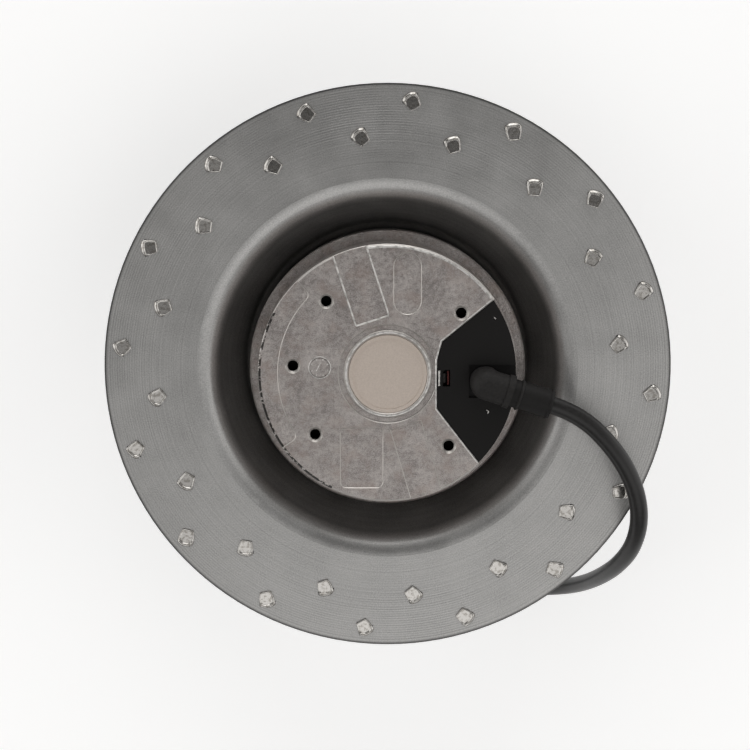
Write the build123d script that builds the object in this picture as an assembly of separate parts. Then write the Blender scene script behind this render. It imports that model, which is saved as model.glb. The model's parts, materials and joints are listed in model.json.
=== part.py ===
from build123d import *
import os
from math import acos, atan2, cos, degrees, pi, radians, sin, sqrt, tan

# A motorised centrifugal impeller: a backward-curved wheel of sheet steel, turned by an
# electronically commutated external-rotor motor whose cast stator flange stands in the wheel's hub.
# Millimetres, +Z up. The origin is the centre of the inlet collar's rim, so the fan stands on its
# inlet with the stator flange on top. The wheel turns about +Z.
# A clock angle is in degrees clockwise from +Y, seen from above, as the flange's holes are laid out.

os.makedirs("parts", exist_ok=True)

# Wheel: sheet, blade passage, and how far the stator flange stands above it
impeller_radius = 112.5
sheet = 1.0
outlet_width = 45.0
flange_stand = 10.0

# Clearances
running_gap = 1.5
slot_clearance = 0.1
fit_clearance = 0.15
ball_clearance = 0.06
seat_gap = 0.02

# Blades, and the tabs that hold them
blade_count = 16
blade_rim_inset = 1.5
blade_depth = 28.0
blade_curve_radius = 135.0
tab_rim_inset = 5.5
tab_step = 13.4
first_blade_clock = -7.1
blade_sweep_clock = 11.68
tab_width = 6.6
tab_tip_width = 4.4
tab_length = 4.8
tab_rise = 1.5
tab_bend = 0.9
tab_root = 0.8

# Inlet shroud
shroud_width = 37.5
collar_height = 18.0
shroud_rise = 25.0
shroud_curve = 22.0
shroud_tab_insets = (22.5, 8.5)

# Back plate
funnel_gap = 3.1
funnel_flare = 11.0
funnel_depth = 30.5
funnel_curve = 2.0
lip_curve = 9.0
hub_step = 2.0
hub_collar_length = 11.0
hub_curve = 1.6

# Rotor bell, magnets and shaft
bell_radius = 54.0
bell_wall = 2.0
bell_depth = 37.0
bell_corner = 7.0
dimple_radius = 17.0
dimple_depth = 3.0
dimple_slope = 3.0
dimple_curve = 1.4
magnet_thickness = 5.0
magnet_count = 10
magnet_gap = 0.6
magnet_height = 26.0
air_gap = 0.6
shaft_radius = 4.0
shaft_above_clip = 2.2
shaft_end_inset = 1.5
shaft_chamfer = 0.5
clip_groove_depth = 0.6
clip_width = 2.0
clip_thickness = 1.0
clip_mouth = 4.4

# Ball bearings
bearing_outer_radius = 11.0
bearing_width = 7.0
race_half_gap = 1.5
ball_radius = 1.98
ball_count = 7
cage_half_width = 0.9
cage_low = 0.7
cage_high = 2.7
washer_thickness = 0.8
washer_width = 1.3
washer_inset = 0.1

# Stator flange
face_chamfer = 0.8
flange_draft = 0.6
shoulder_overhang = 1.4
shoulder_width = 4.6
shoulder_drop = 17.0
shoulder_chamfer = 0.7
flange_wall = 2.5
face_thickness = 6.0
tube_wall = 3.0
tube_shoulder_width = 1.5
tube_land_width = 1.5
tube_clearance = 6.5
tube_lip = 1.0
upper_bearing_drop = 19.0
hole_circle_radius = 37.25
hole_radius = 2.1
hole_depth = 13.0
hole_mouth_radius = 3.0
hole_mouth_depth = 0.9
fixing_clocks = (50.0, 140.0, 230.0, 320.0)
earth_hole_clock = 275.0
boss_wall = 2.5
boss_floor = 2.0

# Shallow forms of the cast face: strips run from a place to a place at a width
panel_depth = 0.5
land_chamfer = 0.35
top_strip = ((-6.0, 20.9), (-16.4, 52.8), 12.8)
low_strip = ((7.1, -20.4), (16.6, -52.5), 12.2)
slim_panel_middle = (7.6, 35.4)
slim_panel_size = (10.4, 23.6)
square_panel_middle = (-10.3, -33.3)
square_panel_size = (16.4, 23.6)
square_panel_corner = 2.2
arc_panel_radii = (43.3, 53.0)
arc_panel_clocks = (235.0, 315.8)
arc_panel_corner = 2.4
dial_middle = (-26.6, 2.6)
dial_radius = 4.2
dial_line = 0.6
ring_width = 1.8
groove_width = 1.9
groove_depth = 0.8

# Centre cap
cap_radius = 15.5
cap_thickness = 2.4
cap_inset = 0.3
cap_rim_width = 1.6
cap_rim_curve = 0.5
cap_dish_depth = 0.4
cap_ledge = 2.3

# Connector cover and its cast recess
cover_thickness = 3.5
cover_inset = 0.6
cover_ledge = 3.0
cover_plug_depth = 4.0
cover_plug_margin = 1.0
cover_corners = ((44.9, 32.2), (21.1, 12.7), (19.2, 5.6), (19.2, -13.8), (39.6, -40.2))
slot_width = 13.0
slot_start = 31.8
slot_middle = -2.9
slot_depth = 1.4
latch_window = (3.0, 6.6)
latch_middle = (22.9, -1.7)
latch_nub = (1.0, 3.6)
latch_nub_drop = 1.0

# Circuit board and what it carries
board_rise = 9.0
board_thickness = 1.6
board_gap = 1.2
screw_radius = 1.25
screw_hole_clearance = 0.3
screw_head_radius = 2.75
screw_head_height = 2.0
screw_length = 9.0
screw_tip_gap = 1.0
capacitor_radius = 8.0
capacitor_height = 21.0
capacitor_chamfer = 0.8
capacitor_places = ((32.0, 185.0), (32.0, 358.0))
choke_radius = 9.0
choke_wire_radius = 3.4
choke_place = (33.0, 278.0)
terminal_length = 11.0
terminal_width = 24.0
terminal_height = 11.0
terminal_middle = (38.0, -3.0)
terminal_hole_clearance = 0.2
lead_stub = 1.2
lead_pitch = 2.0

# Stator core and windings
core_lift = 12.0
core_height = 22.0
yoke_width = 8.0
tooth_count = 12
tooth_width = 7.0
tooth_tip_thickness = 3.4
tooth_gap = 2.4
tooth_root = 1.0
insulator_thickness = 1.0
coil_yoke_gap = 1.5
coil_overhang = 3.5
coil_clearance = 0.35
coil_chamfer = 1.4

# Cable, its elbow boot and sleeve
cable_radius = 3.5
elbow_radius = 6.1
elbow_place = (38.2, -3.1)
lead_rise = 7.0
lead_heading = -17.6
elbow_reach = 10.0
elbow_ring_radius = 6.6
elbow_ring_length = 2.4
elbow_flange_radius = 7.6
elbow_flange_height = 2.0
elbow_flange_gap = 0.4
sleeve_radius = 5.5
sleeve_length = 16.0
cable_grip = 12.0
lead_straight = 12.0
core_radius = 0.95
core_length = 34.0
core_fork = 6.0
core_spread = 3.6
core_ring = 2.0
core_count = 5
ferrule_radius = 1.3
ferrule_pin_radius = 0.8
ferrule_length = 9.0
ferrule_collar_length = 3.6
cable_points = (
    (89.0, -29.4, 107.0),
    (96.8, -43.8, 105.6),
    (99.6, -58.0, 101.6),
    (98.3, -71.1, 93.4),
    (94.5, -82.0, 80.4),
    (90.5, -91.1, 63.6),
    (86.9, -98.7, 46.2),
    (81.4, -105.1, 29.8),
    (72.0, -109.8, 16.0),
    (57.5, -112.2, 7.2),
    (40.0, -112.2, 3.7),
    (19.5, -108.8, 3.5),
    (-6.0, -103.5, 3.5),
    (-33.5, -95.5, 3.5),
    (-58.5, -81.0, 3.5),
    (-79.0, -60.0, 3.5),
    (-90.5, -33.0, 3.5),
    (-93.5, -4.5, 3.5),
    (-88.0, 23.0, 3.5),
)

# Radii that follow from those
inlet_radius = impeller_radius - shroud_width
shroud_tab_radii = [impeller_radius - inset for inset in shroud_tab_insets]
blade_outer_radius = impeller_radius - blade_rim_inset
blade_inner_radius = blade_outer_radius - blade_depth
tab_outer_radius = impeller_radius - tab_rim_inset
tab_inner_radius = tab_outer_radius - tab_step
shoulder_radius = bell_radius + shoulder_overhang
face_radius = shoulder_radius - shoulder_width
funnel_radius = shoulder_radius + funnel_gap
lip_radius = funnel_radius + funnel_flare
pitch_radius = (shaft_radius + bearing_outer_radius) / 2
outer_race_radius = pitch_radius + race_half_gap
inner_race_radius = pitch_radius - race_half_gap
tube_radius = bearing_outer_radius + tube_wall
tube_shoulder_radius = tube_radius + tube_shoulder_width
ring_groove_inner = cap_radius + ring_width
ring_groove_outer = ring_groove_inner + groove_width
core_radius_outer = bell_radius - bell_wall - magnet_thickness - air_gap
yoke_radius = tube_radius + yoke_width
coil_inner_radius = yoke_radius + coil_yoke_gap
chamber_radius = shoulder_radius - flange_wall
cover_edge_radius = face_radius - flange_draft
cover_plug_radius = face_radius - flange_wall - cover_plug_margin
cover_reach = shoulder_radius + flange_wall

# Heights that follow from those
shroud_rim_height = collar_height + shroud_rise
plate_underside = shroud_rim_height + outlet_width
plate_top = plate_underside + sheet
overall_height = plate_top + flange_stand
funnel_bottom = plate_top - funnel_depth
bell_top = funnel_bottom - running_gap
bell_bottom = bell_top - bell_depth
dimple_height = bell_bottom + dimple_depth
tube_bottom = bell_bottom + tube_clearance
lower_bearing_bottom = tube_bottom + tube_lip
upper_bearing_seat = overall_height - upper_bearing_drop
upper_bearing_bottom = upper_bearing_seat + washer_thickness
clip_bottom = upper_bearing_bottom + bearing_width
shaft_top = clip_bottom + clip_thickness + shaft_above_clip
shoulder_height = overall_height - shoulder_drop
core_bottom = bell_bottom + core_lift
core_top = core_bottom + core_height
board_height = bell_top + board_rise
board_top = board_height + board_thickness
cover_top = overall_height - cover_inset
cover_seat = cover_top - cover_thickness
cap_top = overall_height - cap_inset
cap_seat = cap_top - cap_thickness
face_underside = overall_height - face_thickness
lead_height = overall_height + lead_rise
elbow_bottom = cover_seat - cover_plug_depth - elbow_flange_height - elbow_flange_gap


def at_clock(radius, clock):
    """The point at this radius and clock angle."""
    return radius * sin(radians(clock)), radius * cos(radians(clock))


def disc(radius, bottom, top, inner=0.0):
    """A round plate or a ring about the axis."""
    shape = Circle(radius)
    if inner:
        shape -= Circle(inner)
    return Pos(0, 0, bottom) * extrude(shape, top - bottom)


def post(x, y, radius, bottom, top):
    """A round post or hole with its axis along Z."""
    return Pos(x, y, bottom) * extrude(Circle(radius), top - bottom)


def turned(*points):
    """The solid that an outline in radius and height makes when it is turned about the axis."""
    return revolve(Plane.XZ * make_face(Polyline(*points, close=True)), Axis.Z)


def spun_sheet(path, thickness, side):
    """Sheet metal that follows one line in radius and height, on one side of it."""
    return revolve(Plane.XZ * make_face(offset(path, amount=thickness, side=side)), Axis.Z)


def spun_space(path, end_height):
    """The space between a line in radius and height and a level above or below all of it."""
    start, end = path @ 0, path @ 1
    outline = path + [
        Line(end, (end.X, end_height)),
        Line((end.X, end_height), (start.X, end_height)),
    ]
    if start.Y != end_height:
        outline += Line((start.X, end_height), start)
    return revolve(Plane.XZ * make_face(outline), Axis.Z)


def ring_of(piece, count):
    """Copies of a piece about the axis, clockwise seen from above."""
    return [Rot(0, 0, -k * 360 / count) * piece for k in range(count)]


# Blade geometry: the middle line is an arc through both tabs, bulging away from the axis
inner_tab = Vector(*at_clock(tab_inner_radius, first_blade_clock))
outer_tab = Vector(*at_clock(tab_outer_radius, first_blade_clock + blade_sweep_clock))
blade_chord = outer_tab - inner_tab
chord_right = Vector(blade_chord.Y, -blade_chord.X).normalized()
centre_drop = sqrt(blade_curve_radius**2 - (blade_chord.length / 2) ** 2)
blade_centre = (inner_tab + outer_tab) * 0.5 + chord_right * centre_drop
centre_distance = blade_centre.length
centre_clock = degrees(atan2(blade_centre.X, blade_centre.Y))


def blade_clock_offset(radius):
    """The angle at the axis between the arc's centre and the blade's point at this radius."""
    cosine = (radius**2 + centre_distance**2 - blade_curve_radius**2) / (2 * radius * centre_distance)
    return degrees(acos(cosine))


def on_blade(radius):
    """The point of the blade's middle line at this radius, and the blade's direction there."""
    point = Vector(*at_clock(radius, centre_clock - blade_clock_offset(radius)))
    from_centre = (point - blade_centre).normalized()
    return point, Vector(from_centre.Y, -from_centre.X)


# Sheet lines in radius and height: the shroud's outer side and the back plate's upper side
shroud_line = FilletPolyline(
    (inlet_radius, 0),
    (inlet_radius, collar_height),
    (impeller_radius, shroud_rim_height),
    radius=shroud_curve,
)
plate_line = FilletPolyline(
    (bell_radius, bell_top - hub_collar_length),
    (bell_radius, funnel_bottom - hub_step),
    (funnel_radius, funnel_bottom),
    (lip_radius, plate_top),
    (impeller_radius, plate_top),
    radius=[hub_curve, funnel_curve, lip_curve],
)
shroud_sheet = spun_sheet(shroud_line, sheet, Side.LEFT)
plate_sheet = spun_sheet(plate_line, sheet, Side.RIGHT)


def shroud_place(radius):
    """The height and slope of the shroud's outer face at this radius."""
    step = sheet / 2
    heights = []
    for distance in (radius, radius + step):
        wall = Line((distance, 0), (distance, plate_top))
        heights.append(shroud_line.intersect(wall).vertex().Y)
    return heights[0], (heights[1] - heights[0]) / step


def tab_plane(radius, outward):
    """Where a tab stands: X the way it is folded, Y along the blade, Z out of the sheet."""
    point, along = on_blade(radius)
    if outward > 0:
        normal = Vector(0, 0, 1)
        origin = Vector(point.X, point.Y, plate_top)
    else:
        height, slope = shroud_place(radius)
        away = Vector(point.X, point.Y).normalized()
        normal = Vector(away.X * slope, away.Y * slope, -1).normalized()
        origin = Vector(point.X, point.Y, height)
        rise = slope * along.dot(away)
        along = Vector(along.X, along.Y, rise).normalized()
    inward = along.cross(normal)
    if inward.dot(Vector(point.X, point.Y)) > 0:
        inward = inward * -1
    return Plane(origin=origin, x_dir=inward, z_dir=normal)


def folded_tab():
    """A tab that comes up through its slot and is folded down on the sheet."""
    bend = FilletPolyline(
        (0, -sheet - tab_root),
        (0, tab_rise),
        (tab_length, sheet / 2 + seat_gap),
        radius=tab_bend,
    )
    strip = extrude(Plane.XZ * trace(bend, line_width=sheet), tab_width / 2, both=True)
    outline = Polyline(
        (-sheet, -tab_width / 2),
        (tab_bend, -tab_width / 2),
        (tab_length + sheet, -tab_tip_width / 2),
        (tab_length + sheet, tab_tip_width / 2),
        (tab_bend, tab_width / 2),
        (-sheet, tab_width / 2),
        close=True,
    )
    return strip & extrude(make_face(outline), tab_rise + tab_root + 2 * sheet, both=True)


def tab_slot():
    """The slot that a tab comes through."""
    return Box(sheet + 2 * slot_clearance, tab_width + 2 * slot_clearance, 3 * sheet)


tab_planes = [tab_plane(radius, 1) for radius in (tab_inner_radius, tab_outer_radius)]
shroud_tab_planes = [tab_plane(radius, -1) for radius in shroud_tab_radii]


def slotted(piece, planes):
    """A spun sheet with the slots of every blade's tabs."""
    return piece - [copy for plane in planes for copy in ring_of(plane * tab_slot(), blade_count)]


def make_back_plate():
    """Deep-drawn plate: flat ring, rounded lip, funnel round the motor, collar on the rotor bell."""
    return slotted(plate_sheet, tab_planes)


def make_shroud():
    """Inlet ring: a straight collar that opens out into the lower wall of the blade passage."""
    return slotted(shroud_sheet, shroud_tab_planes)


def make_blade():
    """One blade with its tabs, two through the back plate and two through the shroud."""
    start, _ = on_blade(blade_inner_radius)
    middle, _ = on_blade((tab_inner_radius + tab_outer_radius) / 2)
    end, _ = on_blade(blade_outer_radius)
    band = extrude(trace(ThreePointArc(start, middle, end), line_width=sheet), overall_height)
    blade = band - spun_space(shroud_line, 0) - shroud_sheet - disc(inlet_radius, 0, collar_height)
    blade = blade - spun_space(plate_line, overall_height) - plate_sheet
    blade += [plane * folded_tab() for plane in tab_planes + shroud_tab_planes]
    return blade


def make_rotor_bell():
    """Drawn steel cup, open upwards, with a dimple round the shaft's hub."""
    line = FilletPolyline(
        (shaft_radius, dimple_height),
        (dimple_radius, dimple_height),
        (dimple_radius + dimple_slope, bell_bottom),
        (bell_radius, bell_bottom),
        (bell_radius, bell_top),
        radius=[dimple_curve, dimple_curve + bell_wall, bell_corner],
    )
    bell = spun_sheet(line, bell_wall, Side.LEFT)
    return bell + disc(inner_race_radius, dimple_height, lower_bearing_bottom, shaft_radius)


def make_magnets():
    """Arc magnets glued inside the bell, with narrow gaps between them."""
    outer = bell_radius - bell_wall
    middle = core_bottom + core_height / 2
    band = Circle(outer) - Circle(outer - magnet_thickness)
    gap = Pos(0, outer) * Rectangle(magnet_gap, 3 * magnet_thickness)
    band -= ring_of(gap, magnet_count)
    return Pos(0, 0, middle - magnet_height / 2) * extrude(band, magnet_height)


def make_shaft():
    """Steel shaft, pressed into the bell's hub, with a groove for its retaining clip."""
    shaft = disc(shaft_radius, dimple_height - shaft_end_inset, shaft_top)
    shaft = chamfer(shaft.edges().filter_by(GeomType.CIRCLE), shaft_chamfer)
    groove_floor = shaft_radius - clip_groove_depth
    return shaft - disc(2 * shaft_radius, clip_bottom, clip_bottom + clip_thickness, groove_floor)


def make_shaft_clip():
    """Open ring in the shaft's groove that keeps the upper bearing on the shaft."""
    outer = shaft_radius + clip_width
    ring = Circle(outer) - Circle(shaft_radius - clip_groove_depth)
    ring -= Pos(0, outer) * Rectangle(clip_mouth, 2 * outer)
    return Pos(0, 0, clip_bottom) * extrude(ring, clip_thickness)


def race_groove(height):
    """The space the balls run in, with its running clearance."""
    return Pos(0, 0, height) * Torus(pitch_radius, ball_radius + ball_clearance)


def make_outer_ring(bottom):
    ring = disc(bearing_outer_radius, bottom, bottom + bearing_width, outer_race_radius)
    return ring - race_groove(bottom + bearing_width / 2)


def make_inner_ring(bottom):
    ring = disc(inner_race_radius, bottom, bottom + bearing_width, shaft_radius)
    return ring - race_groove(bottom + bearing_width / 2)


def make_balls(bottom):
    ball = Pos(0, pitch_radius, bottom + bearing_width / 2) * Sphere(ball_radius)
    return Compound(ring_of(ball, ball_count))


def make_cage(bottom):
    """Crown cage: a ring beside the balls, with a pocket for each."""
    middle = bottom + bearing_width / 2
    outer, inner = pitch_radius + cage_half_width, pitch_radius - cage_half_width
    ring = disc(outer, middle + cage_low, middle + cage_high, inner)
    pocket = Pos(0, pitch_radius, middle) * Sphere(ball_radius + 2 * ball_clearance)
    return ring - ring_of(pocket, ball_count)


def make_preload_washer():
    outer = bearing_outer_radius - washer_inset
    inner = bearing_outer_radius - washer_width
    return disc(outer, upper_bearing_seat, upper_bearing_bottom, inner)


def cover_outline(inset, radius):
    """The cover's wedge, drawn in from its cast recess by the inset and ended at a radius."""
    first, *_, last = cover_corners
    far = ((cover_reach, last[1]), (cover_reach, first[1]))
    wedge = make_face(Polyline(*cover_corners, *far, close=True))
    if inset:
        wedge = offset(wedge, amount=-inset)
    return wedge & Circle(radius)


def strip_panel(inner, outer, width):
    """A straight-sided recess that runs from an inner point out through the face's edge."""
    heading = Vector(outer[0] - inner[0], outer[1] - inner[1])
    turn = degrees(atan2(heading.Y, heading.X))
    length = heading.length
    return Pos(*inner) * Rot(0, 0, turn) * Pos(length / 2, 0) * Rectangle(length, width)


def arc_panel():
    """A band that runs out through the face's edge between two clock angles."""
    inner, outer = arc_panel_radii
    start, end = arc_panel_clocks
    middle = (start + end) / 2
    sides = [
        ThreePointArc(*(at_clock(outer, clock) for clock in (start, middle, end))),
        Line(at_clock(outer, end), at_clock(inner, end)),
        ThreePointArc(*(at_clock(inner, clock) for clock in (end, middle, start))),
        Line(at_clock(inner, start), at_clock(outer, start)),
    ]
    panel = make_face(Curve() + sides)
    inner_corners = panel.vertices().sort_by(lambda corner: Vector(corner.X, corner.Y).length)[:2]
    return fillet(inner_corners, arc_panel_corner)


def face_panels():
    """Shallow cast panels of the mounting face, all bare."""
    slim_width, slim_length = slim_panel_size
    slim = Pos(*slim_panel_middle) * SlotOverall(slim_length, slim_width, rotation=90)
    square = Pos(*square_panel_middle) * RectangleRounded(*square_panel_size, square_panel_corner)
    return [strip_panel(*top_strip), strip_panel(*low_strip), slim, square, arc_panel()]


def recess(shape, floor):
    """The space of a cast recess down to its floor, a little wider at its rim."""
    rim = overall_height - land_chamfer
    space = Pos(0, 0, floor) * extrude(shape, overall_height - floor)
    return space + Pos(0, 0, rim) * extrude(shape, 2 * land_chamfer, taper=-45)


def flange_blank():
    """The turned forms of the flange: face, shoulder, hollow skirt and the tube below."""
    blank = turned(
        (0, overall_height),
        (face_radius - face_chamfer, overall_height),
        (face_radius, overall_height - face_chamfer),
        (face_radius + flange_draft, shoulder_height),
        (shoulder_radius - shoulder_chamfer, shoulder_height),
        (shoulder_radius, shoulder_height - shoulder_chamfer),
        (shoulder_radius, funnel_bottom),
        (0, funnel_bottom),
    )
    blank -= disc(chamber_radius, 0, shoulder_height - flange_wall)
    blank -= disc(face_radius - flange_wall, 0, face_underside)
    blank += disc(tube_radius, tube_bottom, face_underside)
    return blank + disc(tube_shoulder_radius, core_top, face_underside)


def make_stator_flange():
    """Die-cast flange: mounting face, shoulder, skirt and the tube that carries bearings and core."""
    top = overall_height
    fixings = [at_clock(hole_circle_radius, clock) for clock in fixing_clocks]
    earth = at_clock(hole_circle_radius, earth_hole_clock)
    flange = flange_blank()
    for place in fixings:
        flange += post(*place, hole_radius + boss_wall, board_top, face_underside)
    boss_bottom = top - hole_depth - boss_floor
    flange += post(*earth, hole_radius + boss_wall, boss_bottom, face_underside)

    land = bearing_outer_radius - tube_land_width
    flange -= disc(land, tube_bottom, top)
    flange -= disc(bearing_outer_radius, tube_bottom, lower_bearing_bottom + bearing_width)
    flange -= disc(bearing_outer_radius, upper_bearing_seat, cap_seat)
    flange -= disc(cap_radius - cap_ledge, cap_seat, top)
    flange -= recess(Circle(cap_radius + seat_gap), cap_seat)
    flange -= recess(Circle(ring_groove_outer) - Circle(ring_groove_inner), top - groove_depth)
    flange -= [recess(panel, top - panel_depth) for panel in face_panels()]
    dial = Pos(*dial_middle) * (Circle(dial_radius) - Circle(dial_radius - dial_line))
    flange -= Pos(0, 0, top - panel_depth) * extrude(dial, panel_depth)

    mouth_height = 2 * hole_mouth_depth
    mouth_spread = hole_mouth_radius - hole_radius
    mouth = Cone(hole_radius, hole_mouth_radius + mouth_spread, mouth_height)
    for place in [*fixings, earth]:
        flange -= post(*place, hole_radius, top - hole_depth, top)
        flange -= Pos(*place, top) * mouth
    for place in fixings:
        flange -= post(*place, screw_radius, board_top, board_top + screw_length)

    flange -= recess(cover_outline(0, cover_reach), cover_seat)
    window = extrude(cover_outline(cover_ledge, cover_plug_radius), cover_seat - face_underside)
    flange -= Pos(0, 0, face_underside) * window
    nub_x = latch_middle[0] - latch_window[0] / 2 + latch_nub[0] / 2 + fit_clearance
    nub_height = cover_thickness - latch_nub_drop
    nub = Box(*latch_nub, nub_height, align=(Align.CENTER, Align.CENTER, Align.MIN))
    return flange + Pos(nub_x, latch_middle[1], cover_seat) * nub


def make_centre_cap():
    """Pressed cap that closes the bearing tube: a rounded rim round a flat, sunk middle."""
    cap = disc(cap_radius, cap_seat, cap_top)
    cap = fillet(cap.edges().group_by(Axis.Z)[-1], cap_rim_curve)
    return cap - disc(cap_radius - cap_rim_width, cap_top - cap_dish_depth, overall_height)


def make_connector_cover():
    """Moulded wedge over the terminal chamber, with a channel for the elbow and a latch window."""
    outline = cover_outline(fit_clearance, cover_edge_radius)
    cover = Pos(0, 0, cover_seat) * extrude(outline, cover_thickness)
    plug_inset = cover_ledge + fit_clearance
    plug_edge = cover_plug_radius - fit_clearance
    plug_base = Pos(0, 0, cover_seat - cover_plug_depth)
    cover += plug_base * extrude(cover_outline(plug_inset, plug_edge), cover_plug_depth)
    hollow = cover_outline(plug_inset + flange_wall, plug_edge - flange_wall)
    cover -= plug_base * extrude(hollow, cover_plug_depth)
    channel = Pos(slot_start + cover_reach / 2, slot_middle) * Rectangle(cover_reach, slot_width)
    cover -= Pos(0, 0, cover_top - slot_depth) * extrude(channel, slot_depth)
    cover -= post(*elbow_place, elbow_radius + seat_gap, 0, overall_height)
    window = Box(*latch_window, 2 * cover_thickness)
    return cover - Pos(*latch_middle, cover_seat + cover_thickness / 2) * window


def lead_plane(distance):
    """A plane across the lead, this far out from the elbow's upright part."""
    heading = radians(lead_heading)
    way = Vector(cos(heading), sin(heading), 0)
    origin = Vector(*elbow_place, lead_height) + way * distance
    return Plane(origin=origin, z_dir=way)


def make_cable_elbow():
    """Rubber boot: a stub through the cover, a right-angled bend and a ringed mouth."""
    x, y = elbow_place
    boot = post(x, y, elbow_radius, elbow_bottom, lead_height)
    boot += Pos(x, y, lead_height) * Sphere(elbow_radius)
    boot += post(x, y, elbow_flange_radius, elbow_bottom, elbow_bottom + elbow_flange_height)
    boot += lead_plane(0) * extrude(Circle(elbow_radius), elbow_reach)
    ring = extrude(Circle(elbow_ring_radius), elbow_ring_length)
    return boot + lead_plane(elbow_reach - elbow_ring_length) * ring


def make_cable_sleeve():
    """Rubber sleeve from the boot's mouth on to the cable's sheath."""
    sleeve = lead_plane(elbow_reach) * extrude(Circle(sleeve_radius), sleeve_length)
    bore = extrude(Circle(cable_radius), cable_grip)
    return sleeve - lead_plane(elbow_reach + sleeve_length - cable_grip) * bore


def corner_radii(points):
    """For each corner, the largest arc that its two runs allow."""
    radii = []
    for before, here, after in zip(points, points[1:], points[2:]):
        run_in = Vector(*here) - Vector(*before)
        run_out = Vector(*after) - Vector(*here)
        turn = radians(run_in.get_angle(run_out))
        radii.append(0.45 * min(run_in.length, run_out.length) / tan(turn / 2))
    return radii


def tube(points, radius):
    """A tube of straight runs joined by tangent arcs, and its middle line."""
    line = FilletPolyline(*points, radius=corner_radii(points))
    section = Plane(origin=line @ 0, z_dir=line % 0) * Circle(radius)
    return sweep(section, path=line), line


cable_start = lead_plane(elbow_reach + sleeve_length - cable_grip).origin
cable_exit = lead_plane(elbow_reach + sleeve_length).origin
cable_turn = lead_plane(elbow_reach + sleeve_length + lead_straight).origin
cable_route = (tuple(cable_start), tuple(cable_turn), *cable_points)


def make_core_route(index):
    """One stripped core: out of the sheath's end, fanned out and down to the floor."""
    end = Vector(*cable_points[-1])
    way = (end - Vector(*cable_points[-2])).normalized()
    side = Vector(way.Y, -way.X, 0)
    spread = index - (core_count - 1) / 2
    across = 2 * spread / (core_count - 1)
    up = sqrt(1 - across**2) * (1 if index % 2 else -1)
    start = end + (side * across + Vector(0, 0, up)) * core_ring
    fork = start + way * core_fork
    middle = start + way * (core_length * 0.55) + side * (spread * core_spread * 0.4)
    middle = Vector(middle.X, middle.Y, ferrule_radius + (start.Z - ferrule_radius) * 0.35)
    tip = start + way * core_length + side * (spread * core_spread)
    tip = Vector(tip.X, tip.Y, ferrule_radius)
    return [start, fork, middle, tip]


def make_cores():
    cores = []
    for index in range(core_count):
        points = [tuple(point) for point in make_core_route(index)]
        cores.append(tube(points, core_radius)[0])
    return Compound(cores)


def make_ferrules():
    """Crimped ferrules on the stripped ends, each with a wider collar."""
    ferrules = []
    for index in range(core_count):
        *_, middle, tip = make_core_route(index)
        way = (tip - middle).normalized()
        end = Plane(origin=tip + way * seat_gap, z_dir=way)
        collar = end * extrude(Circle(ferrule_radius), ferrule_collar_length)
        pin = end * extrude(Circle(ferrule_pin_radius), ferrule_length)
        ferrules.append(collar + pin)
    return Compound(ferrules)


def make_core_sketch():
    """One lamination: yoke, teeth and their tips."""
    sketch = Circle(yoke_radius) - Circle(tube_radius)
    tips = Circle(core_radius_outer) - Circle(core_radius_outer - tooth_tip_thickness)
    gap = Pos(0, core_radius_outer) * Rectangle(tooth_gap, 3 * tooth_tip_thickness)
    tips -= [Rot(0, 0, 180 / tooth_count) * copy for copy in ring_of(gap, tooth_count)]
    root = yoke_radius - tooth_root
    reach = core_radius_outer - tooth_tip_thickness / 2 - root
    tooth = Pos(0, root + reach / 2) * Rectangle(tooth_width, reach)
    return sketch + tips + ring_of(tooth, tooth_count)


def make_stator_core():
    return Pos(0, 0, core_bottom) * extrude(make_core_sketch(), core_height)


def make_insulators():
    """End plates between the core and the windings."""
    sketch = make_core_sketch() - Circle(tube_shoulder_radius + fit_clearance)
    plate = extrude(sketch, insulator_thickness)
    places = (core_bottom - insulator_thickness, core_top)
    return Compound([Pos(0, 0, place) * plate for place in places])


def make_windings():
    """One coil round each tooth, filling its half of the slots on both sides."""
    outer = core_radius_outer - tooth_tip_thickness - coil_clearance
    half_pitch = tan(pi / tooth_count)
    inner_half = coil_inner_radius * half_pitch - coil_clearance
    outer_half = outer * half_pitch - coil_clearance
    corners = (
        (-inner_half, coil_inner_radius),
        (inner_half, coil_inner_radius),
        (outer_half, outer),
        (-outer_half, outer),
    )
    plan = make_face(Polyline(*corners, close=True)) & Circle(outer)
    inner_height = core_height + 2 * insulator_thickness
    middle = core_bottom + core_height / 2
    half_height = inner_height / 2 + coil_overhang
    coil = Pos(0, 0, middle) * extrude(plan, half_height, both=True)
    ends = coil.edges().group_by(Axis.Z)
    coil = chamfer(ends[0] + ends[-1], coil_chamfer)
    hole = Pos(0, outer / 2, middle) * Box(tooth_width, 2 * outer, inner_height)
    return Compound(ring_of(coil - hole, tooth_count))


def make_board():
    """Ring-shaped circuit board under the flange's bosses."""
    inner = tube_shoulder_radius + board_gap
    board = disc(chamber_radius - board_gap, board_height, board_top, inner)
    for clock in fixing_clocks:
        place = at_clock(hole_circle_radius, clock)
        board -= post(*place, screw_radius + screw_hole_clearance, board_height, board_top)
    return board


def make_board_screws():
    screws = []
    for clock in fixing_clocks:
        x, y = at_clock(hole_circle_radius, clock)
        tip = board_top + screw_length - screw_tip_gap
        screw = post(x, y, screw_radius - seat_gap, board_height, tip)
        screw += post(x, y, screw_head_radius, board_height - screw_head_height, board_height)
        screws.append(screw)
    return Compound(screws)


def make_capacitors():
    cans = []
    for radius, clock in capacitor_places:
        x, y = at_clock(radius, clock)
        can = post(x, y, capacitor_radius, board_top, board_top + capacitor_height)
        cans.append(chamfer(can.edges().group_by(Axis.Z)[-1], capacitor_chamfer))
    return Compound(cans)


def make_choke():
    """Ring choke, flat on the board."""
    ring = Torus(choke_radius - choke_wire_radius, choke_wire_radius)
    return Pos(*at_clock(*choke_place), board_top + choke_wire_radius) * ring


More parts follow.
